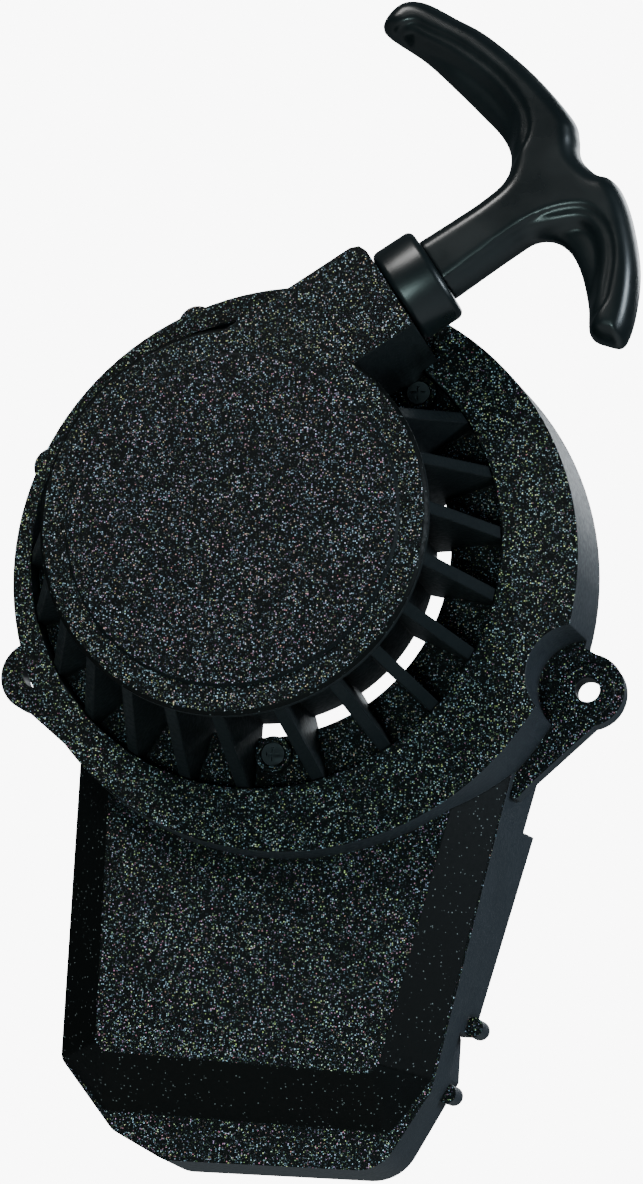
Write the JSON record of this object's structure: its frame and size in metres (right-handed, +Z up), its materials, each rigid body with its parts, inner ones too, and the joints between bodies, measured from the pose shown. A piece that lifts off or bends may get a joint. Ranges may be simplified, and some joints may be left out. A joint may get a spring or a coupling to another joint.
{
  "type": "recoil starter",
  "caption": "Recoil starter for a small two-stroke engine: finned drum cover with a tapering air duct, rope arm and T-shaped pull handle.",
  "frame": {"origin": "crank axis at the mounting plane", "axes": "+Y into the engine along the crank axis, +Z up, +X to the right seen from the user's side"},
  "size_m": [0.1624, 0.0763, 0.2816],
  "materials": {
    "textured_nylon": "spark-eroded, glittering",
    "smooth_nylon": "satin",
    "black_screw": "black oxide",
    "zinc_steel": "zinc plated",
    "spring_steel": "blued",
    "reel_nylon": "moulded",
    "brass": "turned",
    "rope": "braided nylon",
    "pawl_steel": "sintered"
  },
  "bodies": {
    "housing": {"fan_shroud": "textured_nylon", "starter_body": "textured_nylon", "rope_guide": "smooth_nylon", "body_screws": "black_screw", "spring_case": "zinc_steel", "recoil_spring": "spring_steel", "centre_screw": "zinc_steel", "retaining_washer": "zinc_steel", "brake_spring": "spring_steel"},
    "reel": {"reel": "reel_nylon", "reel_bush": "brass", "rope_winding": "rope", "reel_knot": "rope", "pawl_spring_1": "spring_steel", "pawl_spring_2": "spring_steel"},
    "guide_plate": {"guide_plate": "reel_nylon"},
    "pawl_1": {"pawl_1": "pawl_steel"},
    "pawl_2": {"pawl_2": "pawl_steel"},
    "handle": {"pull_handle": "smooth_nylon", "rope_lead": "rope", "knot_washer": "zinc_steel", "handle_knot": "rope"}
  },
  "joints": [
    {"name": "handle_pull", "type": "slide", "parent": "housing", "child": "handle", "axis": [0.8216, 0, 0.57], "range_m": [0, 0.5], "stiffness_N_per_m": 15, "springref_m": -0.6},
    {"name": "reel_spin", "type": "hinge", "parent": "housing", "child": "reel", "pos_m": [0, -0.04, 0], "axis": [0, 1, 0], "range_deg": [0, 1010]},
    {"name": "guide_plate_turn", "type": "hinge", "parent": "reel", "child": "guide_plate", "pos_m": [0, -0.0186, 0], "axis": [0, -1, 0], "range_deg": [0, 28]},
    {"name": "pawl_1_swing", "type": "hinge", "parent": "reel", "child": "pawl_1", "pos_m": [0, -0.022, 0.013], "axis": [0, -1, 0], "range_deg": [0, 20.5]},
    {"name": "pawl_2_swing", "type": "hinge", "parent": "reel", "child": "pawl_2", "pos_m": [0, -0.022, -0.013], "axis": [0, -1, 0], "range_deg": [0, 20.5]}
  ],
  "couplings": [
    {"joint": "reel_spin", "follows": "handle_pull", "rad_per_m": 35},
    {"joint": "pawl_1_swing", "follows": "guide_plate_turn", "ratio": 0.71429},
    {"joint": "pawl_2_swing", "follows": "guide_plate_turn", "ratio": 0.71429}
  ]
}
